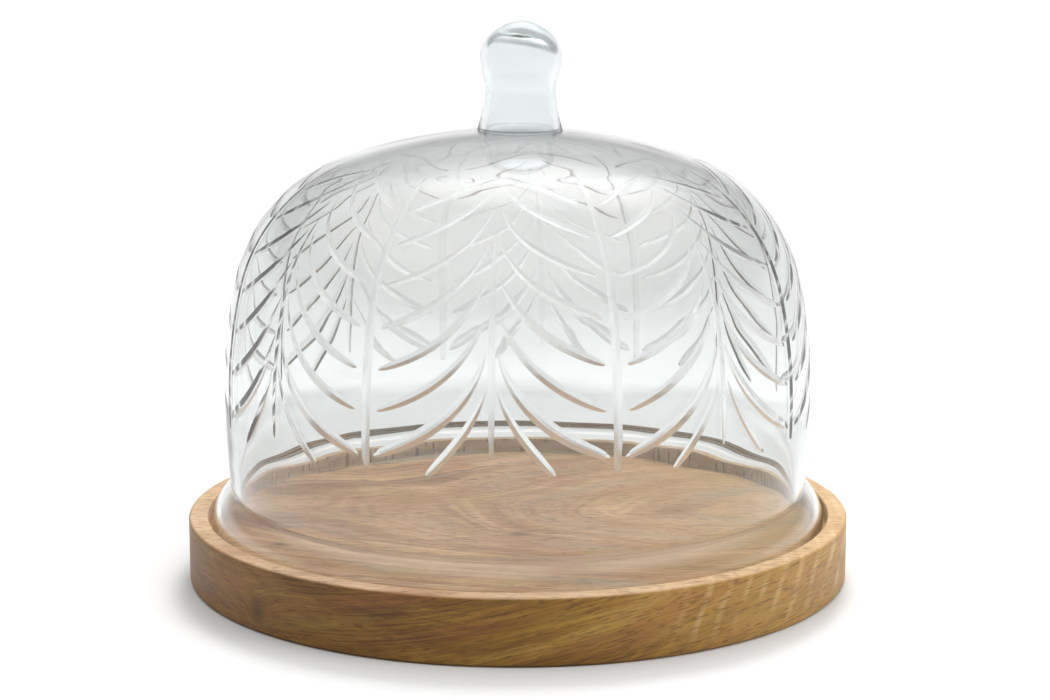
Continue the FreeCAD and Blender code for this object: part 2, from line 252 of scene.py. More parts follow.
class Cut:
    """One V-shaped cut: a straight or bent centre line, and a width."""

    STEP = 1.7 * MM
    SLOPE = 0.33                     # of a flank, depth over width
    CROWDING = 0.11                  # how far stations move towards the ends

    def __init__(self, points, width, swell=LEAF_SWELL, side=0):
        self.points = np.array(points, float)
        self.width = width
        self.swell = swell
        self.side = side             # -1 or 1 keeps only the half inside the sector
        rough = self.local(np.linspace(0, 1, 50))
        length = np.hypot(*np.diff(rough, axis=0).T).sum() * BELLY_RADIUS
        count = max(8, int(length / self.STEP))
        self.t = self.spread(np.linspace(0, 1, count + 1))
        self.uv = self.local(self.t)
        fine = self.spread(np.linspace(0, 1, 4 * count + 1))
        self.fine_t, self.fine_uv = fine, self.local(fine)

    def spread(self, t):
        """Puts stations closer together towards both ends, where the width changes fast."""
        return t - self.CROWDING * np.sin(2 * math.pi * t)

    def local(self, t):
        """The centre line in the sector's flat map."""
        t = np.asarray(t)[:, None]
        if len(self.points) == 3:
            a, b, c = self.points
            place = (1 - t) ** 2 * a + 2 * t * (1 - t) * b + t ** 2 * c
        else:
            place = (1 - t) * self.points[0] + t * self.points[1]
        return np.stack([place[:, 0], OUTER.v_of(place[:, 1])], axis=1)

    def half_width(self, t):
        """Half the width in metres: a taper at each end, widest towards the second."""
        a, b = self.swell
        peak = (a / (a + b)) ** a * (b / (a + b)) ** b
        return self.width / 2 * np.clip(t, 0, 1) ** a * np.clip(1 - t, 0, 1) ** b / peak

    def steepness(self, v):
        """Slope of the flanks at a height in the flat map."""
        return self.SLOPE * (1 - SHOULDER_EASE * rise(OUTER.s_of(v), SHOULDER_START, SHOULDER_SPAN))

    def edges(self):
        """Left edge, ridge and right edge in the flat map."""
        tangent = np.gradient(self.uv, axis=0)
        tangent /= np.hypot(*tangent.T)[:, None]
        across = np.stack([-tangent[:, 1], tangent[:, 0]], axis=1)
        radius = OUTER.at(OUTER.s_of(self.uv[:, 1]))[0]
        reach = (self.half_width(self.t) / radius)[:, None]
        return self.uv + across * reach, self.uv, self.uv - across * reach

    def depth_at(self, uv):
        """Depth in metres of this cut under each point of the flat map."""
        offset = uv[:, None, :] - self.fine_uv[None, :, :]
        nearest = np.argmin((offset ** 2).sum(axis=2), axis=1)
        best = np.full(len(uv), np.inf)
        station = np.zeros(len(uv))
        for step in (-1, 0):
            i = np.clip(nearest + step, 0, len(self.fine_uv) - 2)
            a, b = self.fine_uv[i], self.fine_uv[i + 1]
            span = b - a
            share = np.clip(((uv - a) * span).sum(1) / (span ** 2).sum(1), 0, 1)
            gap = np.hypot(*(uv - a - span * share[:, None]).T)
            closer = gap < best
            best = np.where(closer, gap, best)
            here = self.fine_t[i] + (self.fine_t[i + 1] - self.fine_t[i]) * share
            station = np.where(closer, here, station)
        radius = OUTER.at(OUTER.s_of(uv[:, 1]))[0]
        half = self.half_width(station)
        return self.steepness(uv[:, 1]) * np.maximum(half - best * radius, 0.0)


def leaf_rows():
    """The leaves of one side from the top down, in degrees and millimetres.

    Each row is the turn and place of the start, the turn of the bend and how far down the leaf
    it lies, the turn and place of the end, and the width.
    """
    rows = [(0.4, 187.0, 9.6, 0.40, 20.0, 161.7, 3.2)]
    for k in range(6):
        start = 177.0 - 17.0 * k
        end = 142.3 - 19.4 * k
        drop = 0.55 if k == 0 else 0.70
        rows.append((1.0, start, 5.3, drop, 20.4, end, 3.5 + 0.24 * k))
    rows.append((1.0, 91.0, 4.5, 0.70, 21.0, 43.6, 4.8))
    rows.append((0.9, 75.7, 3.4, 0.50, 11.4, 36.0, 4.4))
    return rows


def motif_cuts():
    """The cuts of one sector: a spine, nine pairs of leaves and two half stems."""
    cuts = [Cut([(0.0, SPINE_TOP), (0.0, SPINE_BOTTOM)], SPINE_WIDTH, SPINE_SWELL)]
    for side in (-1, 1):
        for begin, start, bend, drop, finish, end, width in leaf_rows():
            points = [
                (side * math.radians(begin), start * MM),
                (side * math.radians(bend), (start - drop * (start - end)) * MM),
                (side * math.radians(finish), end * MM),
            ]
            cuts.append(Cut(points, width * MM))
        edge = side * SECTOR / 2
        cuts.append(Cut([(edge, STEM_TOP), (edge, STEM_BOTTOM)], STEM_WIDTH, STEM_SWELL, side))
    return cuts


class Skin:
    """Collects vertices, faces, one normal for each face corner and which faces are cut facets."""

    WELD = 1e7                       # places are welded on a grid of this many steps to a metre

    def __init__(self):
        self.places = []
        self.keys = {}
        self.faces = []
        self.normals = []
        self.ground = []

    def vertex(self, place):
        """Number of the vertex at a place, welded to one that is already there."""
        key = tuple(int(round(c * self.WELD)) for c in place)
        if key not in self.keys:
            self.keys[key] = len(self.places)
            self.places.append(tuple(place))
        return self.keys[key]

    def face(self, corners, normals, ground=0.0):
        """Adds a face unless welding has closed it up; ground is one on a cut facet."""
        loop, kept = [], []
        for corner, normal in zip(corners, normals):
            if corner not in loop:
                loop.append(corner)
                kept.append(tuple(normal))
        if len(loop) < 3:
            return
        a, b, c = (np.array(self.places[i]) for i in (loop[0], loop[1], loop[-1]))
        if np.dot(np.cross(b - a, c - a), np.sum(kept, axis=0)) < 0:
            loop.reverse()
            kept.reverse()
        self.faces.append(loop)
        self.normals.extend(kept)
        self.ground.append(ground)

    def build(self, name, material):
        """The mesh object, with its own normals."""
        mesh = bpy.data.meshes.new(name)
        mesh.from_pydata(self.places, [], self.faces)
        mesh.shade_smooth()
        mesh.normals_split_custom_set(self.normals)
        if any(self.ground):
            facets = mesh.attributes.new("ground", "FLOAT", "FACE")
            facets.data.foreach_set("value", self.ground)
        mesh.materials.append(material)
        mesh.update()
        piece = bpy.data.objects.new(name, mesh)
        bpy.context.scene.collection.objects.link(piece)
        return piece


def turned(r, z, theta):
    """Places round the axis; the turn is measured from the front, positive to the right."""
    return np.stack([r * np.sin(theta), -r * np.cos(theta), z * np.ones_like(theta)], axis=-1)


def wavy(wall, theta, s, seed, size):
    """Places and outward normals on a rippled wall; the ripple fades at the foot and the pole."""
    r, z, nr, nz = wall.at(s)
    h = ripple(theta, s, seed, size)
    step = 0.01 * MM
    slope_s = (ripple(theta, s + step, seed, size) - h) / step
    slope_t = (ripple(theta + step, s, seed, size) - h) / step / np.maximum(r, 5 * MM)
    fade = rise(s, 0.0, 10 * MM) * rise(r, 0.0, 25 * MM)
    h, slope_s, slope_t = h * fade, slope_s * fade, slope_t * fade
    place = turned(r + nr * h, z + nz * h, theta)
    # along the wall the direction is (-nz, nr) in (radius, height)
    n_r = nr + slope_s * nz
    n_z = nz - slope_s * nr
    normal = turned(n_r, np.zeros_like(theta), theta)
    normal[..., 2] = n_z
    around = np.stack([np.cos(theta), np.sin(theta), np.zeros_like(theta)], axis=-1)
    normal = normal - around * slope_t[..., None]
    return place, normal / np.linalg.norm(normal, axis=-1, keepdims=True)


def field_mesh(cuts):
    """Triangles of one sector of the cut field, with every cut's outline and bottom as edges.

    Gives the places in the flat map, their depth, the triangles, and for each triangle the
    number of the flank that it belongs to, or -1 on the plain wall.
    """
    per_sector = ROUND // MOTIFS
    half = SECTOR / 2
    low, high = OUTER.v_of(FIELD_LOW), OUTER.v_of(FIELD_HIGH)
    points, edges, faces, depth, source = [], [], [], [], []

    def add(uv, deep=0.0, owner=-1):
        """Number of a new point; the owner is the cut that gives its depth."""
        points.append((float(uv[0]), float(uv[1])))
        depth.append(deep)
        source.append(owner)
        return len(points) - 1

    def chain(indices):
        """Edges from point to point."""
        edges.extend(zip(indices[:-1], indices[1:]))

    halves = []
    for number, cut in enumerate(cuts):
        left, ridge, right = cut.edges()
        deep = cut.steepness(cut.uv[:, 1]) * cut.half_width(cut.t)
        if cut.side:
            ridge = ridge.copy()
            ridge[:, 0] = cut.side * half
        ridge_ids = [add(uv, d, number) for uv, d in zip(ridge, deep)]
        chain(ridge_ids)
        for flank, outline in ((0, left), (1, right)):
            inside = np.abs(outline[1:-1, 0]).max() < half
            if cut.side and not inside:
                continue
            sides = [add(uv, 0.0, number) for uv in outline[1:-1]]
            ids = [ridge_ids[0]] + sides + [ridge_ids[-1]]
            chain(ids)
            ring = ids + ridge_ids[-2:0:-1]
            faces.append(ring if flank else ring[::-1])
            halves.append((number, flank))

    step = SECTOR / per_sector
    for v in (low, high):
        chain([add((-half + step * k, v)) for k in range(per_sector + 1)])
    stem_low = OUTER.v_of(STEM_BOTTOM)
    stem_high = OUTER.v_of(STEM_TOP)
    for a, b in ((low, stem_low), (stem_high, high)):
        count = max(2, int(round((b - a) / step)))
        for k in range(count + 1):
            at_corner = (a == low and k == 0) or (b == high and k == count)
            at_stem = (b == stem_low and k == count) or (a == stem_high and k == 0)
            if not at_corner and not at_stem:
                for side in (-1, 1):
                    add((side * half, a + (b - a) * k / count))

    grid = []
    row_step = step * math.sqrt(3) / 2
    rows = int((high - low) / row_step)
    for row in range(1, rows):
        v = low + (high - low) * row / rows
        shift = 0.5 if row % 2 else 0.0
        for column in range(1, per_sector + 1):
            u = -half + step * (column - shift)
            if abs(u) < half - EDGE_MARGIN * step:
                grid.append((u, v))
    grid = np.array(grid)
    clear = np.full(len(grid), True)
    for cut in cuts:
        offset = grid[:, None, :] - cut.fine_uv[None, :, :]
        squared = (offset ** 2).sum(axis=2)
        nearest = np.argmin(squared, axis=1)
        radius = OUTER.at(OUTER.s_of(grid[:, 1]))[0]
        reach = cut.half_width(cut.fine_t[nearest]) / radius + CUT_MARGIN * step
        clear &= np.sqrt(squared.min(axis=1)) > reach
    for uv in grid[clear]:
        add(uv)

    scale = BELLY_RADIUS / MM
    flat = [Vector((u * scale, v * scale)) for u, v in points]
    result = delaunay_2d_cdt(flat, edges, faces, 0, FLAT_TOLERANCE, True)
    places, _, corners, point_sources, _, face_sources = result
    uv = np.array([(p.x / scale, p.y / scale) for p in places])
    measured = np.stack([cut.depth_at(uv) for cut in cuts])
    for index, ids in enumerate(point_sources):
        for i in ids:
            if source[i] >= 0:
                measured[source[i], index] = depth[i]
    dug = measured.max(axis=0)
    triangles = np.array([list(face) for face in corners])
    centres = uv[triangles].mean(axis=1)
    centre_depth = np.stack([cut.depth_at(centres) for cut in cuts])
    facet = []
    for index, owners in enumerate(face_sources):
        if owners:
            facet.append(max(owners, key=lambda f: centre_depth[halves[f][0], index]))
        else:
            facet.append(-1)
    return uv, dug, triangles, np.array(facet)


def add_cut_field(skin, cuts):
    """Lays the sector's triangles round the dome and digs the cuts into the wall."""
    uv, dug, triangles, facet = field_mesh(cuts)
    s = OUTER.s_of(uv[:, 1])
    for sector in range(MOTIFS):
        theta = uv[:, 0] + FRONT_TURN + sector * SECTOR
        turn, slide = hand_shift(theta, s)
        place, normal = wavy(OUTER, theta + turn, s + slide, *OUTER_RIPPLE)
        place = place - normal * dug[:, None]
        ids = [skin.vertex(p) for p in place]
        corners = place[triangles]
        flat = np.cross(corners[:, 1] - corners[:, 0], corners[:, 2] - corners[:, 0])
        flip = (flat * normal[triangles].sum(axis=1)).sum(axis=1) < 0
        flat[flip] *= -1
        smooth = {}
        for face, owner in enumerate(facet):
            if owner >= 0:
                for corner in triangles[face]:
                    key = (owner, int(corner))
                    smooth[key] = smooth.get(key, 0) + flat[face]
        for face, owner in enumerate(facet):
            order = triangles[face][::-1] if flip[face] else triangles[face]
            if owner >= 0:
                bent = [smooth[(owner, int(c))] for c in order]
                bent = [b / max(np.linalg.norm(b), 1e-20) for b in bent]
            else:
                bent = [normal[c] for c in order]
            skin.face([ids[c] for c in order], bent, float(owner >= 0))


def add_rings(skin, places, normals):
    """Quads between rows of places; rows run round the axis, normals go with each row."""
    rows = [[skin.vertex(p) for p in row] for row in places]
    count = len(rows[0])
    for upper, lower, n_up, n_low in zip(rows[:-1], rows[1:], normals[:-1], normals[1:]):
        for k in range(count):
            j = (k + 1) % count
            loop = [upper[k], upper[j], lower[j], lower[k]]
            skin.face(loop, [n_up[k], n_up[j], n_low[j], n_low[k]])


def ring_turns():
    """The turns of the vertices of one ring, in line with the cut field's edges."""
    return FRONT_TURN - SECTOR / 2 + np.arange(ROUND) * math.tau / ROUND


def profile_rings(skin, pieces, theta):
    """Turns plain half-section pieces, walked with the glass or wood on the right-hand side."""
    for places, normals in pieces:
        rows = [turned(r * np.ones_like(theta), z, theta) for r, z in places]
        bent = []
        for nr, nz in normals:
            row = turned(nr * np.ones_like(theta), 0.0, theta)
            row[:, 2] = nz
            bent.append(row)
        add_rings(skin, rows, bent)


# ---------------------------------------------------------------- cloche
CROWN_ROWS = 26
FOOT_ROWS = 7
INNER_ROWS = 60
ROLL_STEP = 1.2 * MM
LIP_STEP = 0.7 * MM


def add_wavy_rings(skin, wall, distances, ripple_of, outward):
    """Rings of a rippled wall at these distances along it; outward is -1 on the inner skin."""
    theta = ring_turns()
    rows = [wavy(wall, theta, np.full(ROUND, s), *ripple_of) for s in distances]
    add_rings(skin, [row[0] for row in rows], [outward * row[1] for row in rows])


def make_cloche(material):
    """The whole glass dome as one closed mesh."""
    skin = Skin()
    theta = ring_turns()
    # the outer skin from the pole down to the foot's corner
    crown_s = np.linspace(OUTER.s[-1], FIELD_HIGH, CROWN_ROWS)
    add_wavy_rings(skin, OUTER, crown_s, OUTER_RIPPLE, 1)
    add_cut_field(skin, motif_cuts())
    foot_s = np.linspace(FIELD_LOW, 0.0, FOOT_ROWS)
    add_wavy_rings(skin, OUTER, foot_s, OUTER_RIPPLE, 1)
    # the flared foot and its lip
    roll, roll_out, low, high = wall_angles(0.0)[0]
    _, roll_in, low_in, high_in = wall_angles(WALL)[0]
    lip_r = WALL / 2
    lip = (FOOT_RADIUS - lip_r, FOOT_BOTTOM + lip_r)
    foot = Profile()
    foot.arc(roll, roll_out, high, low, ROLL_STEP)
    foot.line((FOOT_RADIUS, FOOT_ROLL_Z), (FOOT_RADIUS, lip[1]), (1, 0), 1 * MM)
    foot.arc(lip, lip_r, 0.0, -math.pi, LIP_STEP)
    inside = FOOT_RADIUS - WALL
    foot.line((inside, lip[1]), (inside, FOOT_ROLL_Z), (-1, 0), 1 * MM)
    foot.arc(roll, roll_in, low_in, high_in, ROLL_STEP, outward=-1.0)
    profile_rings(skin, foot.pieces, theta)
    # the inner skin from the foot's corner up to the pole
    inner_s = np.concatenate([
        np.linspace(0.0, FIELD_HIGH, INNER_ROWS),
        np.linspace(FIELD_HIGH, INNER.s[-1], CROWN_ROWS)[1:],
    ])
    add_wavy_rings(skin, INNER, inner_s, INNER_RIPPLE, -1)
    piece = skin.build("cut_glass_cloche", material)
    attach(piece, "cloche")
    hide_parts("glass_cloche")


# ---------------------------------------------------------------- knob
SEAM = 0.04 * MM                     # the fused foot stands this far off the crown
KNOB_FOOT_RADIUS = 21.2 * MM
KNOB_STEPS = 128
OUTLINE_ROWS = 90
HOLLOW_ROWS = 80
KNOB_ASIDE = 1.1 * MM                # to the right at its foot
KNOB_LEAN = 0.7 * MM                 # and this much more at its top
FOLLOWING = 12.0 * MM                # up to here the knob follows the crown's slope
# the top of the hollow is tilted and lumpy
UNEVEN_START = 254.0 * MM
UNEVEN_SPAN = 10.0 * MM
TILT = 1.3 * MM
TILT_RADIUS = 14.0 * MM
LUMP_SIZE = 3.4 * MM
LUMP_HEIGHT = 0.16 * MM


def knob_outline():
    """Points of the knob's outer and inner half-sections in millimetres."""
    crown_centre = CROWN_TOP - CROWN_ARC
    foot_z = crown_centre + math.sqrt(CROWN_ARC ** 2 - KNOB_FOOT_RADIUS ** 2) + SEAM
    outer = [
        (KNOB_FOOT_RADIUS / MM, foot_z / MM), (20.2, 225.0), (19.1, 229.0), (18.1, 234.5),
        (17.2, 241.0), (18.0, 246.5), (19.3, 251.5), (20.0, 257.3), (19.3, 262.2),
        (16.6, 267.0), (12.0, 270.9), (6.2, 273.9), (0.0, KNOB_TOP / MM),
    ]
    inner = [
        (17.4, foot_z / MM + 0.22), (16.6, 226.0), (15.7, 230.0), (14.8, 235.0), (14.0, 241.0),
        (14.9, 247.0), (16.2, 252.0), (16.8, 257.0), (16.0, 261.4), (13.2, 264.9),
        (8.4, 267.3), (0.0, 268.6),
    ]
    return outer, inner


def smooth_curve(points, count):
    """A Catmull-Rom curve through half-section points, in metres, with its outward normals."""
    pts = np.array(points, float) * MM
    first = 2 * pts[0] - pts[1]
    mirror = pts[-2] * (-1, 1)
    pts = np.vstack([first, pts, mirror])
    spans = len(pts) - 3
    t = np.linspace(0, spans, count)
    i = np.clip(t.astype(int), 0, spans - 1)
    f = (t - i)[:, None]
    a, b, c, d = pts[i], pts[i + 1], pts[i + 2], pts[i + 3]
    place = 0.5 * (
        2 * b + (c - a) * f + (2 * a - 5 * b + 4 * c - d) * f ** 2
        + (3 * b - a - 3 * c + d) * f ** 3
    )
    place[:, 0] = np.maximum(place[:, 0], 0.0)
    way = np.gradient(place, axis=0)
    way[-1] = (-1, 0)
    normal = np.stack([way[:, 1], -way[:, 0]], axis=1)
    return place, normal / np.hypot(*normal.T)[:, None]


def make_knob(material):
    """The hollow knob as one closed mesh, a little uneven where the glass was gathered."""
    skin = Skin()
    outer_points, inner_points = knob_outline()
    outer, outer_n = smooth_curve(outer_points, OUTLINE_ROWS)
    inner, inner_n = smooth_curve(inner_points, HOLLOW_ROWS)
    foot_z = outer[0][1]
    theta = np.arange(KNOB_STEPS) * math.tau / KNOB_STEPS

    def leaning(row):
        """The knob stands a little to the right, and its foot follows the crown down."""
        low = row[:, 2].min() - foot_z
        moved = row.copy()
        moved[:, 0] += KNOB_ASIDE + KNOB_LEAN * np.clip(low / (KNOB_TOP - foot_z), 0, 1)
        before = np.hypot(row[:, 0], row[:, 1])
        after = np.hypot(moved[:, 0], moved[:, 1])
        drop = np.sqrt(CROWN_ARC ** 2 - after ** 2) - np.sqrt(CROWN_ARC ** 2 - before ** 2)
        moved[:, 2] += drop * np.clip(1 - low / FOLLOWING, 0, 1)
        return moved

    rows, bent = [], []
    for (r, z), (nr, nz) in zip(outer, outer_n):
        rows.append(leaning(turned(r * np.ones(KNOB_STEPS), z, theta)))
        row = turned(nr * np.ones(KNOB_STEPS), 0.0, theta)
        row[:, 2] = nz
        bent.append(row)
    add_rings(skin, rows[::-1], bent[::-1])
    hollow, hollow_n = [], []
    for (r, z), (nr, nz) in zip(inner, inner_n):
        high = rise(z, UNEVEN_START, UNEVEN_SPAN)
        row = leaning(turned(r * np.ones(KNOB_STEPS), z, theta))
        tilt = -TILT * high * r / TILT_RADIUS * np.sin(theta)
        lumps = [noise.noise(Vector(place) / LUMP_SIZE) for place in row]
        row[:, 2] += tilt + LUMP_HEIGHT * high * np.array(lumps)
        hollow.append(row)
        row = turned(-nr * np.ones(KNOB_STEPS), 0.0, theta)
        row[:, 2] = -nz
        hollow_n.append(row)
    add_rings(skin, hollow, hollow_n)
    down = np.tile((0.0, 0.0, -1.0), (KNOB_STEPS, 1))
    add_rings(skin, [rows[0], hollow[0]], [down, down])
    piece = skin.build("hollow_glass_knob", material)
    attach(piece, "cloche")
    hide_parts("glass_knob")


# ---------------------------------------------------------------- wooden base
BASE_STEPS = 288


def make_base(material):
    """The turned base: rounded rim, sunk floor, chamfered underside."""
    skin = Skin()
    theta = np.arange(BASE_STEPS) * math.tau / BASE_STEPS
    radius, top = BASE_RADIUS, BASE_TOP
    quarter = math.pi / 2
    shape = Profile()
    shape.line((0.0, FLOOR_Z), (RECESS_RADIUS, FLOOR_Z), (0, 1), 12 * MM)
    shape.line((RECESS_RADIUS, FLOOR_Z), (RECESS_RADIUS, top - RIM_EASE), (-1, 0), 3 * MM)
    ease = (RECESS_RADIUS + RIM_EASE, top - RIM_EASE)
    shape.arc(ease, RIM_EASE, math.pi, quarter, 0.3 * MM)
    outer_round = (radius - RIM_ROUND, top - RIM_ROUND)
    shape.line((ease[0], top), (outer_round[0], top), (0, 1), 3 * MM)
    shape.arc(outer_round, RIM_ROUND, quarter, 0.0, 0.4 * MM)
    shape.line((radius, outer_round[1]), (radius, UNDER_CHAMFER), (1, 0), 4 * MM)
    slant = math.sqrt(0.5)
    inset = radius - UNDER_CHAMFER
    shape.line((radius, UNDER_CHAMFER), (inset, 0.0), (slant, -slant), 1 * MM)
    shape.line((inset, 0.0), (0.0, 0.0), (0, -1), 16 * MM)
    profile_rings(skin, shape.pieces, theta)
    piece = skin.build("turned_wooden_base", material)
    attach(piece, "base")
    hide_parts("wooden_base")


# ---------------------------------------------------------------- materials
class Nodes:
    """Short-hand for building a node tree."""

    def __init__(self, tree):
        self.tree = tree
        tree.nodes.clear()

    def add(self, kind, inputs=None, **settings):
        """A node with its settings, and inputs that are links or plain values."""
        node = self.tree.nodes.new(kind)
        for name, value in settings.items():
            setattr(node, name, value)
        for name, value in (inputs or {}).items():
            self.feed(node.inputs[name], value)
        return node

    def feed(self, socket, value):
        """Links a socket, or sets its plain value."""
        if isinstance(value, bpy.types.NodeSocket):
            self.tree.links.new(value, socket)
        else:
            socket.default_value = value

    def math(self, operation, first, second=0.0):
        """One step of arithmetic."""
        node = self.add("ShaderNodeMath", {0: first, 1: second}, operation=operation)
        return node.outputs[0]

    def mix(self, amount, first, second, blend="MIX"):
        """Two colours mixed; a mix node keeps its colours in inputs 6 and 7 and output 2."""
        node = self.add("ShaderNodeMix", data_type="RGBA", blend_type=blend)
        for index, value in ((0, amount), (6, first), (7, second)):
            self.feed(node.inputs[index], value)
        return node.outputs[2]

    def ramp(self, amount, stops, interpolation="LINEAR"):
        """A colour ramp from places and colours."""
        node = self.add("ShaderNodeValToRGB", {0: amount})
        node.color_ramp.interpolation = interpolation
        while len(node.color_ramp.elements) < len(stops):
            node.color_ramp.elements.new(0.5)
        for element, (place, colour) in zip(node.color_ramp.elements, stops):
            element.position = place
            element.color = colour
        return node.outputs[0]


def grey(value):
    """A grey of this brightness."""
    return (value, value, value, 1.0)


GLASS_BODY = (0.55, 0.72, 0.66, 1.0)     # what is left of white light deep in the glass
CUT_ROUGHNESS = 0.20                 # the ground facets are a little rougher and hazier
CUT_HAZE = 0.12


def glass_material(name, tint_and_shade, strength, density, index, has_cuts):
    """Clear glass, darker where it is thick; shadow and diffuse light go straight through it.

    The strength is the share of that light which is let through. The tint is the glass's own faint
    green-grey, deepened by painted shade that greys all that is seen through the glass.
    """
    material = bpy.data.materials.new(name)
    material.use_nodes = True
    n = Nodes(material.node_tree)
    finish = {"Base Color": tint_and_shade, "Roughness": 0.0, "IOR": index, "Transmission Weight": 1.0}
    if has_cuts:
        ground = n.add("ShaderNodeAttribute", attribute_name="ground").outputs["Fac"]
        finish["Roughness"] = n.math("MULTIPLY", ground, CUT_ROUGHNESS)
        haze = n.math("MULTIPLY", ground, CUT_HAZE)
        finish["Transmission Weight"] = n.math("SUBTRACT", 1.0, haze)
    body = n.add("ShaderNodeBsdfPrincipled", finish)
    clear = n.add("ShaderNodeBsdfTransparent", {"Color": grey(strength)})
    path = n.add("ShaderNodeLightPath")
    passing = n.math("MAXIMUM", path.outputs["Is Shadow Ray"], path.outputs["Is Diffuse Ray"])
    both = n.add("ShaderNodeMixShader", {0: passing, 1: body.outputs[0], 2: clear.outputs[0]})
    depth = n.add("ShaderNodeVolumeAbsorption", {"Color": GLASS_BODY, "Density": density})
    n.add("ShaderNodeOutputMaterial", {"Surface": both.outputs[0], "Volume": depth.outputs[0]})
    return material


# The board's heart runs along X, below and behind the disc; its fibre climbs to the right in the
# middle and runs level towards both ends.
HEART = (0.030, -0.150)              # y and z of the heart under the middle of the disc
CLIMB = 0.27                         # slope of the fibre in the middle
LEVELLING = 0.78                     # loss of height with the square of the distance
RING_SWAY = 20.0 * MM                # how far slow noise moves the growth rings
KNOT = (-0.120, -0.113, 0.011)       # a small knot in the front left edge
PINS = ((0.0, -0.026, 0.024), (-0.115, -0.045, 0.024))               # two more in the sunk floor
KNOT_RADIUS = 4.5 * MM
DETOUR = (11.0 * MM, 5.5 * MM)       # the fibre's way round the knot: radius and height
NATURAL_BASE = 2.718
INNER_EDGE = ((157.5 * MM) ** 2, (156.4 * MM) ** 2)      # squares of the radii at the rim's edge
FLOOR_HEIGHTS = (28.0 * MM, 25.0 * MM)                   # the sunk floor is below these heights
CURL_LENGTH = 9.4 * MM               # the curl's bars are this far apart
CURL_LEAN = 0.28
CURL_WANDER = 10.0 * MM
CURL_ENDS = (60.0 * MM, 80.0 * MM)   # along X, where the curl sets in
CURL_HEIGHTS = (3.0 * MM, 12.0 * MM)
RIGHT_LIGHT_SPAN = (20.0 * MM, 130.0 * MM)                     # painted light: the board is paler to the right
LEFT_SHADE_SPAN = (-20.0 * MM, -130.0 * MM)                     # painted shade: its edge is darker to the left

# painted shade and painted light: one wood as a shaded copy for the turned edge and a lit copy for
# the faces on top
SHADED_SIDE_TONES = (
    (0.39, (0.070, 0.028, 0.005, 1)), (0.46, (0.155, 0.070, 0.009, 1)),
    (0.54, (0.235, 0.118, 0.016, 1)), (0.62, (0.335, 0.190, 0.036, 1)),
)
LIT_TOP_TONES = (
    (0.39, (0.195, 0.100, 0.048, 1)), (0.46, (0.330, 0.190, 0.098, 1)),
    (0.53, (0.405, 0.247, 0.132, 1)), (0.60, (0.490, 0.322, 0.184, 1)),
)
# painted sheen on the rim's top face
RIM_PAINTED_SHEEN = (0.640, 0.490, 0.320, 1)
WALL_PAINTED_LIGHT = (0.860, 0.640, 0.460, 1)
# painted light on the recess wall, lifting the shade in the gap round the glass foot
MINERAL = (0.255, 0.215, 0.160, 1)
# painted light at the right-hand end
RIGHT_PAINTED_LIGHT = (0.560, 0.350, 0.120, 1)
# painted shade on the left-hand edge
LEFT_PAINTED_SHADE = (0.130, 0.058, 0.022, 1)
# the curl's own figure, its pale colour a painted sheen
CURL_FIGURE_AND_SHEEN = (0.660, 0.490, 0.250, 1)
DARK_PORE = (0.070, 0.032, 0.010, 1)
DARK_KNOT = (0.060, 0.028, 0.012, 1)
# red-brown and olive patches: stretch, distortion, noise where they start and are full, share
PATCHES = (
    ((9.0, 26.0, 90.0), 0.0, 0.50, 0.68, 0.45, (0.260, 0.095, 0.030, 1)),
    ((12.0, 30.0, 110.0), 0.3, 0.54, 0.68, 0.35, (0.260, 0.190, 0.035, 1)),
)


def near_point(n, place, point, reach):
    """One at a point, falling smoothly to about a third at this reach and to nothing far off."""
    offset = n.add("ShaderNodeVectorMath", {0: place, 1: point}, operation="DISTANCE")
    share = n.math("DIVIDE", offset.outputs["Value"], reach)
    squared = n.math("MULTIPLY", share, share)
    return n.math("POWER", NATURAL_BASE, scaled(n, squared, -1.0))


def noise_at(n, place, stretch, detail=2.0, roughness=0.5, distortion=0.0):
    """Noise in the board's own space, stretched by a scale for each axis."""
    spread = n.add("ShaderNodeVectorMath", {0: place, 1: stretch}, operation="MULTIPLY")
    node = n.add("ShaderNodeTexNoise", {
        "Vector": spread.outputs[0], "Scale": 1.0, "Detail": detail,
        "Roughness": roughness, "Distortion": distortion,
    })
    return node.outputs[0]


def noise_line(n, along, detail, roughness):
    """One-dimensional noise: even stripes of uneven width."""
    node = n.add("ShaderNodeTexNoise", {
        "W": along, "Scale": 1.0, "Detail": detail, "Roughness": roughness,
    }, noise_dimensions="1D")
    return node.outputs[0]


def between(n, value, low, high):
    """Nothing at low and beyond, one at high and beyond; low may be the greater of the two."""
    span = n.math("DIVIDE", n.math("SUBTRACT", value, low), high - low)
    return n.math("MINIMUM", n.math("MAXIMUM", span, 0.0), 1.0)


def scaled(n, value, share):
    """A socket's value times a plain number."""
    return n.math("MULTIPLY", value, share)


def board_space(n, place):
    """The place with its height measured from the fibre, which climbs and levels out."""
    x, y, z = n.add("ShaderNodeSeparateXYZ", {0: place}).outputs
    signed_square = n.math("MULTIPLY", x, n.math("ABSOLUTE", x))
    climb = n.math("SUBTRACT", scaled(n, x, CLIMB), scaled(n, signed_square, LEVELLING))
    height = n.math("SUBTRACT", z, climb)
    around_knot = scaled(n, near_point(n, place, KNOT, DETOUR[0]), DETOUR[1])
    height = n.math("ADD", height, around_knot)
    return n.add("ShaderNodeCombineXYZ", {0: x, 1: y, 2: height}).outputs[0]


def growth_rings(n, board):
    """Distance from the heart of the tree, unsettled by slow noise."""
    _, y, z = n.add("ShaderNodeSeparateXYZ", {0: board}).outputs
    sway = n.math("SUBTRACT", noise_at(n, board, (5.0, 11.0, 16.0), detail=3.0), 0.5)
    over = n.math("SUBTRACT", z, HEART[1])
    aside = n.math("SUBTRACT", y, HEART[0])
    squares = n.math("ADD", n.math("MULTIPLY", over, over), n.math("MULTIPLY", aside, aside))
    return n.math("ADD", n.math("SQRT", squares), scaled(n, sway, RING_SWAY))


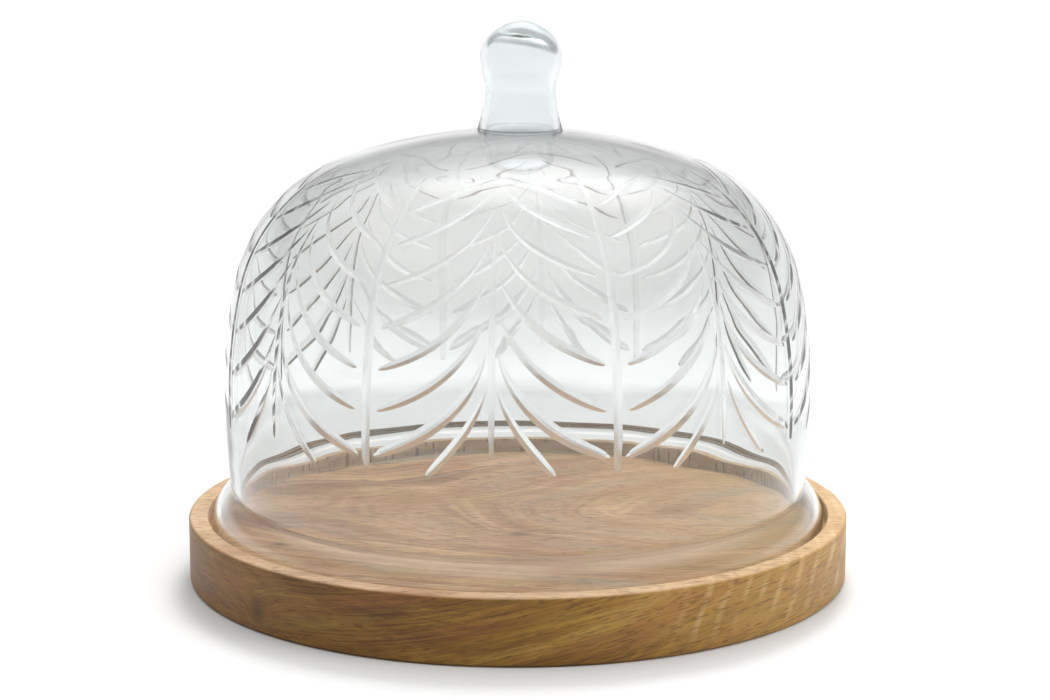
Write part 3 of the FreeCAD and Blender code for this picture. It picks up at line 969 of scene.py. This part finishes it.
def wood_material():
    """Oiled hardwood from one board: rings, fibre, pores, stain and a curled right-hand end, with
    painted shade, painted light and painted sheen laid into its colour.
    """
    material = bpy.data.materials.new("figured_hardwood")
    material.use_nodes = True
    n = Nodes(material.node_tree)
    coordinates = n.add("ShaderNodeTexCoord")
    place = coordinates.outputs["Object"]
    board = board_space(n, place)
    rings = growth_rings(n, board)
    broad = noise_line(n, scaled(n, rings, 170.0), detail=3.0, roughness=0.55)
    fine = noise_line(n, scaled(n, rings, 800.0), detail=2.0, roughness=0.5)
    x, y, z = n.add("ShaderNodeSeparateXYZ", {0: place}).outputs
    facing = n.add("ShaderNodeSeparateXYZ", {0: coordinates.outputs["Normal"]}).outputs[2]
    outward = n.math("ADD", n.math("MULTIPLY", x, x), n.math("MULTIPLY", y, y))
    recessed = between(n, outward, *INNER_EDGE)
    upward = between(n, facing, 0.45, 0.95)
    level = n.math("MAXIMUM", upward, recessed)
    wall = n.math("MULTIPLY", recessed, n.math("SUBTRACT", 1.0, upward))
    edge = n.math("SUBTRACT", 1.0, level)
    # long grain shows on the edge as layers one above another, and on top as lines side by side
    spread = n.add("ShaderNodeSeparateXYZ", {0: board}).outputs
    across = n.math("MULTIPLY", spread[1], n.math("ADD", scaled(n, level, 0.92), 0.08))
    over = n.math("MULTIPLY", spread[2], n.math("ADD", scaled(n, edge, 0.92), 0.08))
    grain = n.add("ShaderNodeCombineXYZ", {0: spread[0], 1: across, 2: over}).outputs[0]
    fibre = noise_at(n, grain, (26.0, 420.0, 1000.0), detail=5.0, roughness=0.68)
    pores = noise_at(n, grain, (150.0, 900.0, 1400.0), detail=1.0)
    patches = noise_at(n, board, (9.0, 18.0, 60.0), detail=3.0, roughness=0.55)
    lines = n.math("ADD", scaled(n, broad, 0.6), scaled(n, fine, 0.4))
    ringed = n.math("ADD", scaled(n, level, 0.22), 0.20)
    rest = n.math("ADD", scaled(n, fibre, 0.58), scaled(n, patches, 0.42))
    tone = n.math("ADD", n.math("MULTIPLY", lines, ringed),
                  n.math("MULTIPLY", rest, n.math("SUBTRACT", 1.0, ringed)))
    # painted shade: the turned edge takes darker colours than the faces on top, as the light falls
    # from above, and the sunk floor takes a little of them too
    sunk = n.math("MULTIPLY", level, between(n, z, *FLOOR_HEIGHTS))
    lit_top_share = n.math("MULTIPLY", level, n.math("SUBTRACT", 1.0, scaled(n, sunk, 0.16)))
    colour = n.mix(lit_top_share, n.ramp(tone, SHADED_SIDE_TONES), n.ramp(tone, LIT_TOP_TONES))
    # painted sheen: the rim's top face is mixed towards a pale colour
    rim = n.math("MULTIPLY", level, n.math("SUBTRACT", 1.0, sunk))
    colour = n.mix(scaled(n, rim, 0.25), colour, RIM_PAINTED_SHEEN)
    # painted light: the recess wall is painted pale against the shade in the gap
    colour = n.mix(scaled(n, wall, 0.55), colour, WALL_PAINTED_LIGHT)
    # patches of colour, and grey mineral streaks along the rings, mostly on the sunk floor
    for stretch, distortion, start, full, share, stain in PATCHES:
        cloud = noise_at(n, board, stretch, distortion=distortion)
        colour = n.mix(scaled(n, between(n, cloud, start, full), share), colour, stain)
    streaks = noise_line(n, scaled(n, rings, 62.0), detail=4.0, roughness=0.7)
    cloud = between(n, noise_at(n, board, (9.0, 14.0, 30.0), detail=3.0), 0.46, 0.58)
    grey_streak = n.math("MULTIPLY", between(n, streaks, 0.50, 0.64), cloud)
    grey_streak = n.math("MULTIPLY", grey_streak, n.math("ADD", scaled(n, sunk, 0.66), 0.05))
    colour = n.mix(grey_streak, colour, MINERAL)
    # curl: bars across the grain at the right-hand end, the wood's own figure; their pale colour is
    # a painted sheen
    drift = n.math("SUBTRACT", noise_at(n, place, (22.0, 9.0, 30.0)), 0.5)
    upright = n.math("SUBTRACT", x, scaled(n, z, CURL_LEAN))
    lean = n.math("ADD", upright, scaled(n, drift, CURL_WANDER))
    wave = n.math("SINE", scaled(n, lean, math.tau / CURL_LENGTH))
    bars = between(n, wave, 0.25, 1.0)
    patchy = between(n, noise_at(n, place, (45.0, 45.0, 70.0), detail=1.0), 0.36, 0.56)
    where = n.math("MULTIPLY", between(n, x, *CURL_ENDS), patchy)
    where = n.math("MULTIPLY", where, n.math("SUBTRACT", 1.0, sunk))
    where = n.math("MULTIPLY", where, between(n, z, *CURL_HEIGHTS))
    curl = n.math("MULTIPLY", bars, where)
    # painted light at the board's right-hand end and painted shade on its left-hand edge, then the
    # curl, the pores and the knots
    colour = n.mix(scaled(n, between(n, x, *RIGHT_LIGHT_SPAN), 0.30), colour, RIGHT_PAINTED_LIGHT)
    # painted shade on the turned edge towards the left
    left_shade = n.math("MULTIPLY", between(n, x, *LEFT_SHADE_SPAN), edge)
    colour = n.mix(scaled(n, left_shade, 0.38), colour, LEFT_PAINTED_SHADE)
    colour = n.mix(scaled(n, curl, 0.22), colour, CURL_FIGURE_AND_SHEEN)
    dark_pores = between(n, pores, 0.43, 0.33)
    colour = n.mix(scaled(n, dark_pores, 0.58), colour, DARK_PORE)
    knots = near_point(n, place, KNOT, KNOT_RADIUS)
    for pin in PINS:
        knots = n.math("MAXIMUM", knots, near_point(n, place, pin, KNOT_RADIUS))
    colour = n.mix(scaled(n, knots, 0.70), colour, DARK_KNOT)
    relief = n.math("ADD", scaled(n, fibre, 0.6), scaled(n, pores, 0.8))
    bump = n.add("ShaderNodeBump", {"Height": relief, "Strength": 0.25, "Distance": 0.0002})
    sheen = n.math("SUBTRACT", n.math("ADD", scaled(n, fibre, 0.12), 0.42), scaled(n, curl, 0.12))
    body = n.add("ShaderNodeBsdfPrincipled", {
        "Base Color": colour, "Roughness": sheen, "Normal": bump.outputs[0],
        "Specular IOR Level": 0.3,
    })
    n.add("ShaderNodeOutputMaterial", {"Surface": body.outputs[0]})
    return material


# ---------------------------------------------------------------- studio
FLOOR_SIZE = 60.0
NEAR_FLOOR = 0.62
FAR_FLOOR = 0.88
FLOOR_CHANGE = (0.445, 0.480)        # distances from the axis


def make_floor():
    """A plain pale floor, paler away from the object."""
    bpy.ops.mesh.primitive_plane_add(size=FLOOR_SIZE, location=(0, 0, 0))
    floor = bpy.context.object
    floor.name = "studio_floor"
    material = bpy.data.materials.new("pale_floor")
    material.use_nodes = True
    n = Nodes(material.node_tree)
    place = n.add("ShaderNodeTexCoord").outputs["Object"]
    reach = n.add("ShaderNodeVectorMath", {0: place}, operation="LENGTH").outputs["Value"]
    pale = n.mix(between(n, reach, *FLOOR_CHANGE), grey(NEAR_FLOOR), grey(FAR_FLOOR))
    body = n.add("ShaderNodeBsdfPrincipled", {"Base Color": pale, "Roughness": 0.9})
    n.add("ShaderNodeOutputMaterial", {"Surface": body.outputs[0]})
    floor.data.materials.append(material)


# brightness by height of the look, from level to straight up: first behind the object, then the
# share of it that is left in front, where the camera stands
STUDIO_WALLS = (
    (0.0, grey(0.60)), (0.14, grey(0.60)), (0.28, grey(0.28)), (0.50, grey(0.30)),
    (0.78, grey(0.88)),
)
WALLS_LEVEL = 1.75
FRONT_SHARE = ((0.0, grey(0.70)), (0.50, grey(0.60)), (0.80, grey(1.0)))
FRONT_TO_BACK = (-0.35, 0.35)
SKY_WAY = Vector((0.10, 0.53, 0.85)).normalized()     # middle of the softlight above and behind
SKY_SPREAD = ((0.90, grey(0)), (0.98, grey(1)))       # by the cosine of the angle from it
SKY_LIGHT = 1.2


def make_world():
    """Plain soft studio: pale all round, with a broad light above and behind."""
    world = bpy.data.worlds.new("studio")
    bpy.context.scene.world = world
    world.use_nodes = True
    n = Nodes(world.node_tree)
    way = n.add("ShaderNodeTexCoord").outputs["Generated"]
    height = n.add("ShaderNodeSeparateXYZ", {0: way}).outputs[2]
    back_walls = n.mix(1.0, n.ramp(height, STUDIO_WALLS), grey(WALLS_LEVEL), "MULTIPLY")
    front_walls = n.mix(1.0, back_walls, n.ramp(height, FRONT_SHARE), "MULTIPLY")
    behind = n.add("ShaderNodeSeparateXYZ", {0: way}).outputs[1]
    walls = n.mix(between(n, behind, *FRONT_TO_BACK), front_walls, back_walls)
    toward = n.add("ShaderNodeVectorMath", {0: way, 1: tuple(SKY_WAY)}, operation="DOT_PRODUCT")
    cap = n.ramp(toward.outputs["Value"], SKY_SPREAD, "EASE")
    cap = n.math("MULTIPLY", cap, SKY_LIGHT)
    light = n.mix(1.0, walls, cap, "ADD")
    back = n.add("ShaderNodeBackground", {"Color": light, "Strength": 1.0})
    n.add("ShaderNodeOutputWorld", {"Surface": back.outputs[0]})


def area_light(name, place, target, size, power, spread):
    """A square softbox turned towards a point; the spread is in degrees."""
    data = bpy.data.lights.new(name, "AREA")
    data.size = size
    data.spread = math.radians(spread)
    data.energy = power
    light = bpy.data.objects.new(name, data)
    light.location = place
    aim = Vector(target) - Vector(place)
    light.rotation_mode = "QUATERNION"
    light.rotation_quaternion = aim.to_track_quat("-Z", "Y")
    light.visible_glossy = False
    light.visible_transmission = False
    bpy.context.scene.collection.objects.link(light)


CAMERA_PLACE = (0.0, -1.150, 0.3276)
CAMERA_PITCH = math.radians(10.640)  # down
CAMERA_YAW = math.radians(-0.180)
LENS = 80.2
SENSOR_WIDTH = 36.0
NEAR_CLIP = 0.05


def make_camera():
    """The reference view: from the front, a little above."""
    data = bpy.data.cameras.new("camera")
    data.lens = LENS
    data.sensor_width = SENSOR_WIDTH
    data.clip_start = NEAR_CLIP
    camera = bpy.data.objects.new("camera", data)
    camera.location = CAMERA_PLACE
    camera.rotation_euler = (math.pi / 2 - CAMERA_PITCH, 0.0, CAMERA_YAW)
    bpy.context.scene.collection.objects.link(camera)
    bpy.context.scene.camera = camera


def main():
    """Sets light paths that go right through the glass, and builds the object and its studio."""
    scene = bpy.context.scene
    scene.view_settings.view_transform = "Standard"
    scene.cycles.max_bounces = 24
    scene.cycles.transmission_bounces = 20
    scene.cycles.transparent_max_bounces = 24
    # painted shade: both tints are greyer than clear glass, beyond its own faint green-grey, and
    # grey all that is seen through the glass
    glass = glass_material(
        "clear_glass", tint_and_shade=(0.815, 0.830, 0.826, 1.0), strength=0.92, density=3.0, index=1.5,
        has_cuts=True)
    knob_glass = glass_material(
        "knob_clear_glass", tint_and_shade=(0.915, 0.928, 0.940, 1.0), strength=0.94, density=20.0,
        index=1.35, has_cuts=False)
    make_cloche(glass)
    make_knob(knob_glass)
    make_base(wood_material())
    make_floor()
    make_world()
    area_light("side_softbox", place=(1.6, -0.7, 0.9), target=(0, 0, 0.1),
               size=0.9, power=8.0, spread=120.0)
    area_light("key_softbox", place=(0.15, 1.45, 1.6), target=(0, -0.10, 0.0),
               size=0.9, power=2.6, spread=34.0)
    make_camera()


main()
